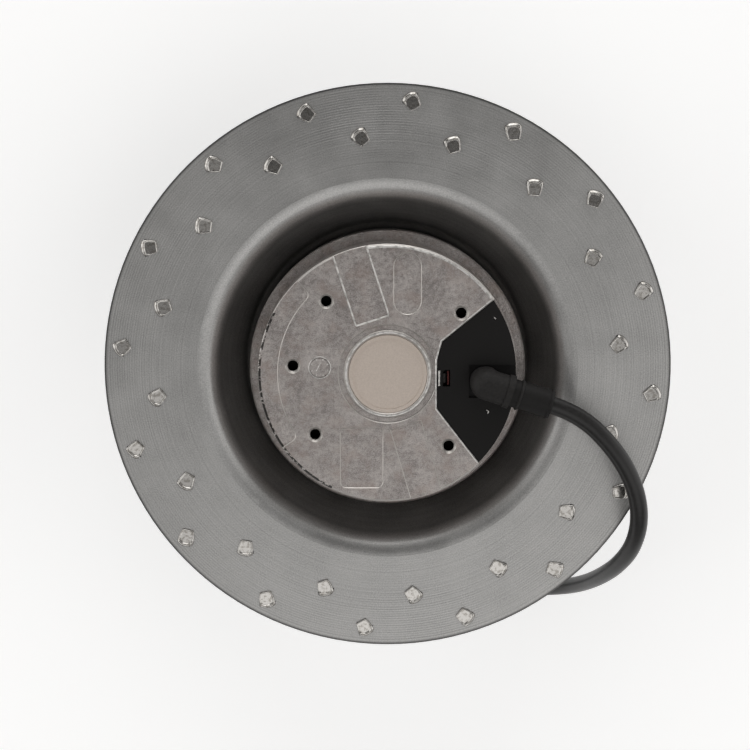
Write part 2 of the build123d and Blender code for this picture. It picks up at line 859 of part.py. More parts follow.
def core_place(index):
    """Where this core of the lead stands in the terminal block."""
    x, y = terminal_middle
    return x, y + (index - (core_count - 1) / 2) * terminal_width / core_count


def make_terminal_block():
    """Plug-in block that the lead's cores go down to."""
    half_height = terminal_height / 2
    block = Box(terminal_length, terminal_width, terminal_height)
    block = Pos(*terminal_middle, board_top + half_height) * block
    hole = core_radius + terminal_hole_clearance
    for index in range(core_count):
        place = core_place(index)
        block -= post(*place, hole, board_top + half_height, board_top + terminal_height)
    return block


def make_inner_leads():
    """The lead's cores inside the terminal chamber, from the boot down into the block."""
    leads = []
    bottom = board_top + terminal_height / 2
    rise = board_top + terminal_height + lead_stub
    for index in range(core_count):
        low = core_place(index)
        step = (index - (core_count - 1) / 2) * lead_pitch
        high = (elbow_place[0], elbow_place[1] + step)
        fall = elbow_bottom - lead_stub
        points = ((*low, bottom), (*low, rise), (*high, fall), (*high, elbow_bottom))
        leads.append(tube(points, core_radius)[0])
    return Compound(leads)


def save(shape, name):
    """Write one sub-part under its node's name."""
    export_step(shape, f"parts/{name}.step")


# The stator, which is what gets fixed
save(make_stator_flange(), "stator_flange")
save(make_centre_cap(), "centre_cap")
save(make_connector_cover(), "connector_cover")
save(make_board(), "circuit_board")
save(make_board_screws(), "board_screws")
save(make_capacitors(), "board_capacitors")
save(make_choke(), "board_choke")
save(make_terminal_block(), "terminal_block")
save(make_inner_leads(), "inner_leads")
save(make_stator_core(), "stator_core")
save(make_insulators(), "slot_insulators")
save(make_windings(), "stator_windings")
save(make_outer_ring(lower_bearing_bottom), "lower_bearing_outer_ring")
save(make_outer_ring(upper_bearing_bottom), "upper_bearing_outer_ring")
save(make_preload_washer(), "preload_washer")

# The lead
cable, cable_line = tube(cable_route, cable_radius)
save(make_cable_elbow(), "cable_elbow")
save(make_cable_sleeve(), "cable_sleeve")
save(cable, "cable")
save(make_cores(), "cable_cores")
save(make_ferrules(), "core_ferrules")

# The balls and cages, which roll round between the races
save(make_balls(lower_bearing_bottom), "lower_balls")
save(make_cage(lower_bearing_bottom), "lower_ball_cage")
save(make_balls(upper_bearing_bottom), "upper_balls")
save(make_cage(upper_bearing_bottom), "upper_ball_cage")

# The rotor and the wheel on it
save(make_inner_ring(lower_bearing_bottom), "lower_bearing_inner_ring")
save(make_inner_ring(upper_bearing_bottom), "upper_bearing_inner_ring")
save(make_shaft(), "shaft")
save(make_shaft_clip(), "shaft_clip")
save(make_rotor_bell(), "rotor_bell")
save(make_magnets(), "rotor_magnets")
save(make_back_plate(), "back_plate")
save(make_shroud(), "inlet_shroud")
for number, blade in enumerate(ring_of(make_blade(), blade_count), start=1):
    save(blade, f"blade_{number:02d}")

print("cable length", round(cable_line.length, 1), "volume", round(cable.volume, 1),
      "section times length", round(pi * cable_radius**2 * cable_line.length, 1))
print("cable arc radii", [round(radius, 1) for radius in corner_radii(cable_route)])
print("free cable from the sleeve", round(cable_line.length - cable_grip, 1))
print("cable exit", [round(value, 2) for value in cable_exit])
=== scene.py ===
import json
from math import atan2, cos, pi, radians, sin, sqrt

import bmesh
import bpy
from mathutils import Matrix, Vector

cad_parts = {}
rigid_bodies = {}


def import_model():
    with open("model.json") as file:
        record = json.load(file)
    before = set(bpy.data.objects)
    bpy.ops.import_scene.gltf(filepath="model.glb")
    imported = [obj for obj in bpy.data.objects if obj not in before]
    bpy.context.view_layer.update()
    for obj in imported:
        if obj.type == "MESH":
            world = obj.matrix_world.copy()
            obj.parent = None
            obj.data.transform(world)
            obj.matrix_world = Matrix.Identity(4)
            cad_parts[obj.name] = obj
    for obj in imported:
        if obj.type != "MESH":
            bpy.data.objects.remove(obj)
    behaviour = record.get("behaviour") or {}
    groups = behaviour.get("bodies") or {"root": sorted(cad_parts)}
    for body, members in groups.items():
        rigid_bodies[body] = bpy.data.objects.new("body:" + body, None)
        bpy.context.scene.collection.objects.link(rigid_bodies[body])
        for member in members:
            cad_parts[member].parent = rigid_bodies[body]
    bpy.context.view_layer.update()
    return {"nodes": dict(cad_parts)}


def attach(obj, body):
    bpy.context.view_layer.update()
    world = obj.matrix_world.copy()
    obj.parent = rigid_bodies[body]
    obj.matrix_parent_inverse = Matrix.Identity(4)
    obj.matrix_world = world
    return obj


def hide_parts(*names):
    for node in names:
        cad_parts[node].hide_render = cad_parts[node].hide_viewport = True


# The looks of a motorised centrifugal impeller, seen from its stator's side. Metres, +Z up; the
# sizes below that are called mm are millimetres, and MM turns them into metres.

for old in list(bpy.data.objects):
    bpy.data.objects.remove(old)
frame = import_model()
nodes = frame["nodes"]
scene = bpy.context.scene
MM = 0.001


# Camera

CAMERA_PLACE = (-0.00502, 0.07586, 0.66026)
CAMERA_TILT = -7.728
CAMERA_LENS = 69.6
SENSOR = 36.0


def make_camera():
    data = bpy.data.cameras.new("camera")
    data.lens = CAMERA_LENS
    data.sensor_width = SENSOR
    data.clip_start = 0.01
    data.clip_end = 20
    camera = bpy.data.objects.new("camera", data)
    camera.location = CAMERA_PLACE
    camera.rotation_euler = (radians(CAMERA_TILT), 0, 0)
    scene.collection.objects.link(camera)
    scene.camera = camera


# The lead

CABLE_RADIUS = 3.5
CABLE_EXIT = (62.98, -10.96, 106.0)
CABLE_POINTS = (
    CABLE_EXIT,
    (74.42, -14.59, 106.0),
    (89.0, -29.4, 107.0),
    (96.8, -43.8, 105.6),
    (99.6, -58.0, 101.6),
    (98.3, -71.1, 93.4),
    (94.5, -82.0, 80.4),
    (90.5, -91.1, 63.6),
    (86.9, -98.7, 46.2),
    (81.4, -105.1, 29.8),
    (72.0, -109.8, 16.0),
    (57.5, -112.2, 7.2),
    (40.0, -112.2, 3.7),
    (19.5, -108.8, 3.5),
    (-6.0, -103.5, 3.5),
    (-33.5, -95.5, 3.5),
    (-58.5, -81.0, 3.5),
    (-79.0, -60.0, 3.5),
    (-90.5, -33.0, 3.5),
    (-93.5, -4.5, 3.5),
    (-88.0, 23.0, 3.5),
)


def make_cable():
    """The sheathed lead, from the sleeve's mouth down and round the inlet collar on the floor.

    Its thickness is in the points and not in the bevel, because a curve's bounds reach out by that.
    """
    curve = bpy.data.curves.new("lead", "CURVE")
    curve.dimensions = "3D"
    curve.resolution_u = 14
    curve.bevel_depth = 1
    curve.bevel_resolution = 7
    curve.use_fill_caps = True
    spline = curve.splines.new("NURBS")
    spline.points.add(len(CABLE_POINTS) - 1)
    for point, place in zip(spline.points, CABLE_POINTS):
        point.co = (*(value * MM for value in place), 1)
        point.radius = CABLE_RADIUS * MM
    spline.order_u = 3
    spline.use_endpoint_u = True
    lead = bpy.data.objects.new("lead", curve)
    scene.collection.objects.link(lead)
    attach(lead, "stator")
    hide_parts("cable")
    lead.data.materials.append(FINISHES["cable_sheath"])


# Finishes

class Shades:
    """A node tree under construction: one principled shader and short ways to feed it."""

    def __init__(self, name, metallic, roughness):
        self.material = bpy.data.materials.new(name)
        self.material.use_nodes = True
        self.tree = self.material.node_tree
        self.shader = self.tree.nodes["Principled BSDF"]
        self.shader.inputs["Metallic"].default_value = metallic
        self.shader.inputs["Roughness"].default_value = roughness
        self.place = self.add("ShaderNodeTexCoord").outputs["Object"]
        self.normal = None

    def add(self, kind, **values):
        node = self.tree.nodes.new(kind)
        for name, value in values.items():
            setattr(node, name, value)
        return node

    def join(self, output, socket):
        self.tree.links.new(output, socket)

    def math(self, operation, *values):
        node = self.add("ShaderNodeMath", operation=operation)
        for socket, value in zip(node.inputs, values):
            if isinstance(value, (int, float)):
                socket.default_value = value
            else:
                self.join(value, socket)
        return node.outputs[0]

    def noise(self, size, detail=3.0, stretch=(1, 1, 1), vector=None):
        """Noise whose lumps are about this many millimetres, from 0 to 1."""
        scaled = self.add("ShaderNodeVectorMath", operation="MULTIPLY")
        self.join(vector or self.place, scaled.inputs[0])
        scaled.inputs[1].default_value = [1 / (size * MM * part) for part in stretch]
        noise = self.add("ShaderNodeTexNoise")
        noise.inputs["Scale"].default_value = 1
        noise.inputs["Detail"].default_value = detail
        self.join(scaled.outputs[0], noise.inputs["Vector"])
        return noise.outputs["Fac"]

    def cells(self, size):
        """A random value for each crystal of this many millimetres."""
        cells = self.add("ShaderNodeTexVoronoi")
        cells.inputs["Scale"].default_value = 1 / (size * MM)
        self.join(self.place, cells.inputs["Vector"])
        grey = self.add("ShaderNodeSeparateColor")
        self.join(cells.outputs["Color"], grey.inputs[0])
        return grey.outputs[0]

    def radius(self):
        """The distance from the axis, in millimetres."""
        flat = self.add("ShaderNodeVectorMath", operation="MULTIPLY")
        self.join(self.place, flat.inputs[0])
        flat.inputs[1].default_value = (1 / MM, 1 / MM, 0)
        length = self.add("ShaderNodeVectorMath", operation="LENGTH")
        self.join(flat.outputs[0], length.inputs[0])
        return length.outputs["Value"]

    def height(self):
        """The height above the floor, in millimetres."""
        parts = self.add("ShaderNodeSeparateXYZ")
        self.join(self.place, parts.inputs[0])
        return self.math("MULTIPLY", parts.outputs["Z"], 1 / MM)

    def slope(self):
        """How far the surface faces up, from 0 for a wall to 1 for a floor."""
        normal = self.add("ShaderNodeTexCoord").outputs["Normal"]
        parts = self.add("ShaderNodeSeparateXYZ")
        self.join(normal, parts.inputs[0])
        return parts.outputs["Z"]

    def along(self, value, size):
        """A place for a noise that changes only with this value, once in each size."""
        place = self.add("ShaderNodeCombineXYZ")
        self.join(self.math("MULTIPLY", value, MM / size), place.inputs["X"])
        return place.outputs[0]

    def total(self, *parts):
        """The sum of values, each with its weight."""
        sum_ = None
        for value, weight in parts:
            part = self.math("MULTIPLY", value, weight)
            sum_ = self.math("ADD", sum_, part) if sum_ else part
        return sum_

    def tint(self, amount, shade):
        """Blend the base colour towards a shade."""
        mix = self.add("ShaderNodeMix", data_type="RGBA")
        self.join(amount, mix.inputs[0])
        self.join(self.shade, mix.inputs[6])
        mix.inputs[7].default_value = (*shade, 1)
        self.shade = mix.outputs[2]
        self.join(self.shade, self.shader.inputs["Base Color"])

    def darken(self, factor):
        """Multiply the base colour by a value."""
        scale = self.add("ShaderNodeVectorMath", operation="SCALE")
        self.join(self.shade, scale.inputs[0])
        self.join(factor, scale.inputs["Scale"])
        self.shade = scale.outputs[0]
        self.join(self.shade, self.shader.inputs["Base Color"])

    def between(self, value, low, high, to_low=0.0, to_high=1.0):
        node = self.add("ShaderNodeMapRange")
        self.join(value, node.inputs["Value"])
        for socket, number in zip(list(node.inputs)[1:5], (low, high, to_low, to_high)):
            socket.default_value = number
        return node.outputs["Result"]

    def color(self, value, *stops):
        """The base colour, ramped over a value: each stop is (place, colour)."""
        ramp = self.add("ShaderNodeValToRGB")
        elements = ramp.color_ramp.elements
        while len(elements) < len(stops):
            elements.new(0.5)
        for element, (place, shade) in zip(elements, stops):
            element.position = place
            element.color = (*shade, 1)
        self.join(value, ramp.inputs["Fac"])
        self.shade = ramp.outputs["Color"]
        self.join(self.shade, self.shader.inputs["Base Color"])

    def rough(self, value, low, high):
        self.join(self.between(value, 0.3, 0.7, low, high), self.shader.inputs["Roughness"])

    def bump(self, height, depth, strength=1.0):
        """Relief on top of what is there, with its depth in millimetres."""
        node = self.add("ShaderNodeBump")
        node.inputs["Distance"].default_value = depth * MM
        node.inputs["Strength"].default_value = strength
        self.join(height, node.inputs["Height"])
        if self.normal:
            self.join(self.normal, node.inputs["Normal"])
        self.normal = node.outputs["Normal"]
        self.join(self.normal, self.shader.inputs["Normal"])


def grey(value, tint=(1, 1, 1)):
    return tuple(value * part for part in tint)


RING_PITCH = 0.97
ZINC = (1.0, 0.99, 0.975)


def spun_sheet_finish():
    """Galvanised sheet that was spun: turned rings towards the rim, cloudy zinc and a fine grain, with painted
    shade down in the inlet funnel and a painted highlight on its lip.
    """
    s = Shades("spun_zinc", 0.9, 0.38)
    cloud = s.noise(16.0, 5.0)
    grain = s.noise(0.42, 2.0)
    reach = s.radius()
    streak = s.noise(1.0, 3.0, vector=s.along(reach, 0.9))
    turned = s.math("SINE", s.math("MULTIPLY", reach, 2 * pi / RING_PITCH))
    near_rim = s.between(reach, 72, 104, 0.1, 1.0)
    uneven = s.between(s.noise(30.0, 2.0), 0.4, 0.6, 0.35, 1.0)
    rings = s.math("MULTIPLY", s.math("MULTIPLY", turned, near_rim), uneven)
    streaks = s.math("SUBTRACT", streak, 0.5)
    tone = s.total((cloud, 0.3), (grain, 0.7), (rings, 0.075), (streaks, 0.3))
    s.color(tone, (0.32, grey(0.32, ZINC)), (0.68, grey(0.54, ZINC)))
    # Painted shade and a painted highlight in the inlet funnel: inside 57.5 mm from the axis the zinc is
    # darkened to half, and from 60.5 mm on the lip it is lightened up to 1.6 times, back to its own tone by 68
    # mm.
    s.darken(s.between(reach, 57.5, 60.5, 0.5, 1.6))
    s.darken(s.between(reach, 61.0, 68.0, 1.0, 0.63))
    s.darken(s.between(reach, 111.4, 112.0, 1.0, 0.3))
    s.rough(cloud, 0.35, 0.42)
    s.bump(rings, 0.012)
    s.bump(streaks, 0.03)
    s.bump(grain, 0.022)
    return s.material


def blade_finish():
    """Galvanised sheet of the blades, with its crystals."""
    s = Shades("blade_zinc", 0.85, 0.36)
    tone = s.total((s.cells(5.0), 0.35), (s.noise(2.0), 0.65))
    s.color(tone, (0.25, grey(0.42)), (0.75, grey(0.58)))
    s.bump(s.noise(1.2, 3.0), 0.02)
    return s.material


def tab_finish():
    """Zinc of the folded tabs, smoother than the plate, with dirt in patches."""
    s = Shades("tab_zinc", 0.97, 0.13)
    dirt = s.noise(1.5, 3.0)
    s.color(dirt, (0.36, grey(0.38, (1.0, 0.95, 0.88))), (0.52, grey(0.58, (1.0, 0.97, 0.93))))
    s.rough(dirt, 0.19, 0.11)
    s.bump(s.noise(1.4, 2.0), 0.02)
    return s.material


def cast_finish():
    """Die-cast aluminium: a warm grey skin, mottled and grainy, worn bright on its edges and lightened there as
    a painted highlight, with painted shade on its shoulder, in its holes and in a broken groove on the left.
    """
    s = Shades("cast_skin", 0.8, 0.42)
    parts = s.add("ShaderNodeSeparateXYZ")
    s.join(s.place, parts.inputs[0])
    rise = s.height()
    reach = s.radius()
    clouds = s.noise(11.0, 3.0)
    patches = s.noise(1.7, 6.0)
    specks = s.noise(0.34, 3.0)
    coarse_and_shaded = s.math("LESS_THAN", rise, 84.0)
    tone = s.total((clouds, 0.28), (patches, 0.27), (specks, 0.45))
    s.color(
        tone,
        (0.40, (0.24, 0.218, 0.209)),
        (0.5, (0.395, 0.364, 0.35)),
        (0.6, (0.54, 0.502, 0.483)),
    )
    s.tint(s.between(s.noise(7.0, 4.0), 0.48, 0.68, 0.0, 0.45), (0.37, 0.30, 0.268))
    # The shoulder below the face, under 84 mm high, has a coarser relief, and its colour is darkened as painted
    # shade for lying deep below the face.
    s.darken(s.between(coarse_and_shaded, 0, 1, 1.0, 0.78))
    # Sloped faces of the face's top edges are lightened: partly rubbed wear, partly a painted highlight.
    slope = s.slope()
    worn_highlight_edge = s.math("MULTIPLY", s.math("GREATER_THAN", slope, 0.3), s.math("LESS_THAN", slope, 0.93))
    worn_highlight_edge = s.math("MULTIPLY", worn_highlight_edge, s.math("GREATER_THAN", rise, 97.9))
    s.tint(s.math("MULTIPLY", worn_highlight_edge, 0.75), (0.62, 0.6, 0.57))
    # Painted shade: a broken dark line at the face's rim on the left, where it meets the shoulder, stands in
    # for the shade in that groove.
    left = s.math("LESS_THAN", parts.outputs["X"], -22 * MM)
    left = s.math("MULTIPLY", left, s.math("LESS_THAN", parts.outputs["Y"], 24 * MM))
    rim = s.math("MULTIPLY", s.math("GREATER_THAN", reach, 49.75), s.math("LESS_THAN", reach, 50.75))
    broken_groove_shade = s.math("GREATER_THAN", s.noise(1.6, 2.0), 0.44)
    s.darken(s.between(s.math("MULTIPLY", s.math("MULTIPLY", left, rim), broken_groove_shade), 0, 1, 1.0, 0.12))
    # Painted shade: all below 97.9 mm high within 42 mm of the axis, the insides of holes and recesses and the
    # underside, is darkened to 6 %.
    hole_shade = s.math("MULTIPLY", s.math("LESS_THAN", rise, 97.9), s.math("LESS_THAN", reach, 42.0))
    s.darken(s.between(hole_shade, 0, 1, 1.0, 0.06))
    s.rough(patches, 0.33, 0.47)
    s.bump(specks, 0.05)
    s.bump(patches, 0.09)
    s.bump(s.math("MULTIPLY", s.noise(0.9, 3.0), coarse_and_shaded), 0.3)
    return s.material


def worn_and_highlight_finish():
    """Cast metal rubbed bright and lightened further as a painted highlight."""
    s = Shades("worn_edge_and_highlight", 0.8, 0.4)
    wear = s.noise(2.2, 3.0)
    s.color(wear, (0.34, grey(0.42, (1.0, 0.97, 0.93))), (0.56, grey(0.78, (1.0, 0.98, 0.95))))
    return s.material


def black_finish(name, low, high, roughness, size, relief, gloss=0.3):
    """Black rubber or plastic with a weak shine."""
    s = Shades(name, 0, roughness)
    s.shader.inputs["Specular IOR Level"].default_value = gloss
    patches = s.noise(size, 3.0)
    s.color(patches, (0.3, low), (0.7, high))
    s.rough(patches, roughness * 0.9, roughness * 1.1)
    s.bump(s.noise(size * 0.3, 2.0), relief)
    return s.material


def plain_finish(name, dark, light, metallic, roughness, size=1.5, relief=0.01, detail=3.0):
    """Two shades of one colour in soft patches, with a fine relief."""
    s = Shades(name, metallic, roughness)
    patches = s.noise(size, detail)
    s.color(patches, (0.3, dark), (0.7, light))
    s.rough(patches, roughness * 0.92, roughness * 1.08)
    s.bump(s.noise(size * 0.3, 2.0), relief)
    return s.material


WARM = (1.0, 0.94, 0.92)
FINISHES = {
    "galvanised_sheet": spun_sheet_finish(),
    "galvanised_blade": blade_finish(),
    "cast_aluminium": cast_finish(),
    "cap_metal": plain_finish("cap_skin", (0.585, 0.503, 0.44), (0.67, 0.583, 0.515), 0.25, 0.42, 0.5),
    "black_plastic": black_finish("cover_plastic", grey(0.009, WARM), grey(0.0125, WARM), 0.5, 0.6, 0.01, 0.15),
    "black_rubber": black_finish("boot_rubber", grey(0.016, WARM), grey(0.026, WARM), 0.6, 1.0, 0.02, 0.2),
    "sleeve_rubber": black_finish("sleeve_rubber", grey(0.010, WARM), grey(0.015, WARM), 0.55, 1.0, 0.02, 0.2),
    "cable_sheath": black_finish("sheath", grey(0.011, WARM), grey(0.017, WARM), 0.36, 1.2, 0.012, 0.4),
    "board": plain_finish("board_green", (0.012, 0.07, 0.03), (0.02, 0.1, 0.045), 0, 0.35, 2.0),
    "zinc_steel": plain_finish("zinc_screws", grey(0.5), grey(0.6), 0.9, 0.3, 0.8),
    "capacitor_sleeve": plain_finish("can_sleeve", grey(0.012), grey(0.02), 0, 0.3, 2.0),
    "enamelled_copper": plain_finish("copper_wire", (0.36, 0.11, 0.03), (0.5, 0.18, 0.06), 0.8, 0.3, 0.5),
    "terminal_plastic": plain_finish("terminal", (0.5, 0.5, 0.46), (0.58, 0.58, 0.54), 0, 0.4, 1.0),
    "core_insulation": plain_finish("core_skin", (0.35, 0.02, 0.015), (0.42, 0.03, 0.02), 0, 0.4, 1.0),
    "lamination_steel": plain_finish("lamination", grey(0.16), grey(0.24), 0.8, 0.45, 0.5),
    "insulator_plastic": plain_finish("insulator", (0.5, 0.46, 0.38), (0.56, 0.52, 0.44), 0, 0.5, 1.0),
    "bearing_steel": plain_finish("bearing_steel", grey(0.5), grey(0.58), 1.0, 0.18, 1.5, 0.003),
    "tinned_copper": plain_finish("ferrule_tin", grey(0.5), grey(0.6), 0.9, 0.3, 0.6),
    "cage_plastic": plain_finish("cage", (0.28, 0.2, 0.12), (0.34, 0.25, 0.15), 0, 0.5, 1.0),
    "bell_steel": plain_finish("bell_steel", grey(0.2), grey(0.28), 0.85, 0.38, 2.5, 0.015),
    "magnet": plain_finish("magnet", grey(0.04), grey(0.06), 0.5, 0.5, 0.8),
}
TAB_FINISH = tab_finish()
WORN_AND_HIGHLIGHT_FINISH = worn_and_highlight_finish()


def dress_nodes():
    """Give every node of the frame its finish by the slot it carries."""
    for node in nodes.values():
        for index, material in enumerate(node.data.materials):
            node.data.materials[index] = FINISHES[material.name.split(".")[0]]


# The folded tabs

PLATE_TOP = 89.0
TAB_RADII = (93.6, 107.0)
FIRST_BLADE_CLOCK = -7.1
BLADE_SWEEP_CLOCK = 11.68
BLADE_CURVE_RADIUS = 135.0
BLADE_COUNT = 16


def at_clock(radius, clock):
    """The point at this radius and clock angle, clockwise from +Y."""
    return Vector((radius * sin(radians(clock)), radius * cos(radians(clock))))


def tab_places():
    """The place of each tab of the first blade and the way that it is folded."""
    inner = at_clock(TAB_RADII[0], FIRST_BLADE_CLOCK)
    outer = at_clock(TAB_RADII[1], FIRST_BLADE_CLOCK + BLADE_SWEEP_CLOCK)
    chord = outer - inner
    right = Vector((chord.y, -chord.x)).normalized()
    centre = (inner + outer) / 2 + right * sqrt(BLADE_CURVE_RADIUS**2 - (chord.length / 2) ** 2)
    places = []
    for place in (inner, outer):
        fold = (centre - place).normalized()
        if fold.dot(place) > 0:
            fold = -fold
        places.append((place, atan2(fold.y, fold.x)))
    return places


def rounded(corners, radii, steps=6):
    """A closed outline through these corners, each rounded by its own length."""
    points = []
    for index, here in enumerate(corners):
        before, after = corners[index - 1], corners[(index + 1) % len(corners)]
        start = here + (before - here).normalized() * radii[index]
        end = here + (after - here).normalized() * radii[index]
        for step in range(steps + 1):
            t = step / steps
            points.append(start * (1 - t) ** 2 + here * 2 * t * (1 - t) + end * t**2)
    return points


def tab_outline(swell):
    """A tab seen from above: X the way it is folded, bulged on the side of the fold."""
    corners = [
        Vector((-0.9, -3.3)),
        Vector((2.0, -3.05)),
        Vector((4.9, -2.25)),
        Vector((4.9, 2.25)),
        Vector((2.0, 3.05)),
        Vector((-0.9, 3.3)),
        Vector((-1.3 - swell, 1.6)),
        Vector((-1.4 - swell, 0.0)),
        Vector((-1.3 - swell, -1.6)),
    ]
    return rounded(corners, (0.5, 0.8, 0.5, 0.5, 0.8, 0.5, 0.7, 0.7, 0.7), 3)


# Rings of a tab from its foot inwards: inset and height on the flat sides, then on the fold's side
TAB_RINGS = (
    (0.0, -0.3, 0.0, -0.3),
    (0.0, 0.45, 0.0, 0.25),
    (0.06, 0.75, 0.12, 0.62),
    (0.14, 0.92, 0.5, 0.98),
    (0.28, 0.98, 0.95, 1.3),
    (0.4, 0.94, 1.2, 1.42),
    (0.5, 0.87, 1.36, 1.28),
    (0.6, 0.84, 1.48, 0.92),
    (0.9, 0.84, 1.75, 0.84),
)


def tab_mesh(places, draw):
    """The two tabs of one blade: a bulged fold, thin rounded rims and a pressed middle."""
    verts, faces = [], []
    for place, heading in places:
        outline = tab_outline(0.35 + 0.35 * draw())
        size = 0.97 + 0.05 * draw()
        turn = heading + radians(5 * (draw() - 0.5))
        lean = 0.09 * (draw() - 0.5)
        middle = Vector((1.9, 0.0))
        start = len(verts)
        for flat_inset, flat_rise, fold_inset, fold_rise in TAB_RINGS:
            for point in outline:
                away = point - middle
                fold = min(max((0.1 - point.x) / 1.0, 0), 1)
                inset = flat_inset + (fold_inset - flat_inset) * fold
                local = (middle + away * (1 - inset / away.length)) * size
                rise = flat_rise + (fold_rise - flat_rise) * fold
                if rise > 0.6:
                    rise += lean * local.y
                verts.append((
                    place.x + local.x * cos(turn) - local.y * sin(turn),
                    place.y + local.x * sin(turn) + local.y * cos(turn),
                    PLATE_TOP + rise,
                ))
        count = len(outline)
        for ring in range(len(TAB_RINGS) - 1):
            low, high = start + ring * count, start + (ring + 1) * count
            for index in range(count):
                after = (index + 1) % count
                faces.append((low + index, low + after, high + after, high + index))
        faces.append([start + (len(TAB_RINGS) - 1) * count + index for index in range(count)])
    return [Vector(vert) * MM for vert in verts], faces


def make_blades():
    """Each blade as in the frame, but with its two upper tabs as pressed and rubbed metal."""
    seed = [7]

    def draw():
        seed[0] = (seed[0] * 1103515245 + 12345) % 2**31
        return seed[0] / 2**31

    places = tab_places()
    for number in range(BLADE_COUNT):
        name = f"blade_{number + 1:02d}"
        shape = bmesh.new()
        shape.from_mesh(nodes[name].data)
        upper = [vert for vert in shape.verts if vert.co.z > (PLATE_TOP + 0.05) * MM]
        bmesh.ops.delete(shape, geom=upper, context="VERTS")
        verts, faces = tab_mesh(places, draw)
        spin = Matrix.Rotation(-2 * pi * number / BLADE_COUNT, 3, "Z")
        made = [shape.verts.new(spin @ vert) for vert in verts]
        for face in faces:
            tab_face = shape.faces.new([made[index] for index in face])
            tab_face.smooth = len(face) == 4
            tab_face.material_index = 1
        mesh = bpy.data.meshes.new(f"{name}_formed")
        shape.to_mesh(mesh)
        shape.free()
        mesh.materials.append(FINISHES["galvanised_blade"])
        mesh.materials.append(TAB_FINISH)
        blade = bpy.data.objects.new(f"{name}_formed", mesh)
        scene.collection.objects.link(blade)
        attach(blade, "rotor")
        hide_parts(name)


# Worn edges of the cast face, lightened as a painted highlight

FACE_TOP = 99.0
FACE_EDGE_RADIUS = 50.0
DIAL_PLACE = (-26.6, 2.6)


def bead(curve, points, radius, closed=False, proud=0.1):
    """One rounded worn edge, to carry a painted highlight, along these places on the face, a little proud of
    it.
    """
    spline = curve.splines.new("POLY")
    spline.points.add(len(points) - 1)
    for target, (x, y) in zip(spline.points, points):
        target.co = (x * MM, y * MM, (FACE_TOP - radius + proud) * MM, 1)
    spline.use_cyclic_u = closed


def arc_points(radius, start, end, count=48):
    return [at_clock(radius, start + (end - start) * k / count)[:] for k in range(count + 1)]


def strip_edge(inner, outer, width, length):
    """Along one side of a strip panel, round its inner end and along the other side."""
    start = Vector(inner)
    along = (Vector(outer) - start).normalized()
    across = Vector((-along.y, along.x)) * width / 2
    far = start + along * length
    corners = [far + across, start + across, start - across, far - across]
    line = rounded(corners, (0, 0.9, 0.9, 0), 4)
    return [point[:] for point in line]


def drawn_lines(name, radius, resolution=3):
    """A curve that takes round lines of this radius, to be made solid when they are all in."""
    curve = bpy.data.curves.new(name, "CURVE")
    curve.dimensions = "3D"
    curve.bevel_depth = radius * MM
    curve.bevel_resolution = resolution
    curve.use_fill_caps = True
    return curve


def make_solid(curve, finish):
    """The mesh of drawn lines, riding on the stator. A mesh has true bounds, which a curve lacks."""
    drawn = bpy.data.objects.new("drawn", curve)
    scene.collection.objects.link(drawn)
    seen = drawn.evaluated_get(bpy.context.evaluated_depsgraph_get())
    mesh = bpy.data.meshes.new_from_object(seen)
    bpy.data.objects.remove(drawn)
    mesh.materials.clear()
    mesh.materials.append(finish)
    thing = bpy.data.objects.new(curve.name, mesh)
    scene.collection.objects.link(thing)
    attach(thing, "stator")


def make_worn_and_highlight_edges():
    """Rounded, rubbed edges of the face, the strip panels, the cover's recess and the boss, lightened as a
    painted highlight.
    """
    broad = drawn_lines("worn_and_highlight_rim", 0.6, 4)
    bead(broad, arc_points(FACE_EDGE_RADIUS - 0.3, -9.0, 53.5, 60), 0.6)
    bead(broad, arc_points(FACE_EDGE_RADIUS - 0.3, -43.0, -25.0, 24), 0.6, proud=0.0)
    thin = drawn_lines("worn_and_highlight_lines", 0.45)
    bead(thin, strip_edge((-6.0, 20.9), (-16.4, 52.8), 13.6, 28.4), 0.45)
    bead(thin, [(40.3, 29.2), (20.7, 13.1), (18.8, 5.7), (18.8, -13.9), (35.3, -35.3)], 0.45)
    boss = drawn_lines("boss_rim", 0.85, 5)
    bead(boss, arc_points(16.42, 0, 355, 71), 0.85, closed=True)
    for curve in (broad, thin, boss):
        make_solid(curve, WORN_AND_HIGHLIGHT_FINISH)


# Small things on the face and the lead

LEAD_HEADING = -17.6
ELBOW_PLACE = (38.2, -3.1)
LEAD_HEIGHT = 106.0


def line(curve, points, closed=False):
    spline = curve.splines.new("POLY")
    spline.points.add(len(points) - 1)
    for target, point in zip(spline.points, points):
        target.co = (*(value * MM for value in point), 1)
    spline.use_cyclic_u = closed


def lead_ring(distance, radius):
    """A circle round the lead at this distance from the elbow's middle."""
    way = Vector((cos(radians(LEAD_HEADING)), sin(radians(LEAD_HEADING)), 0))
    across = Vector((-way.y, way.x, 0))
    middle = Vector((*ELBOW_PLACE, LEAD_HEIGHT)) + way * distance
    ring = []
    for step in range(40):
        turn = 2 * pi * step / 40
        ring.append(middle + across * radius * cos(turn) + Vector((0, 0, radius * sin(turn))))
    return ring


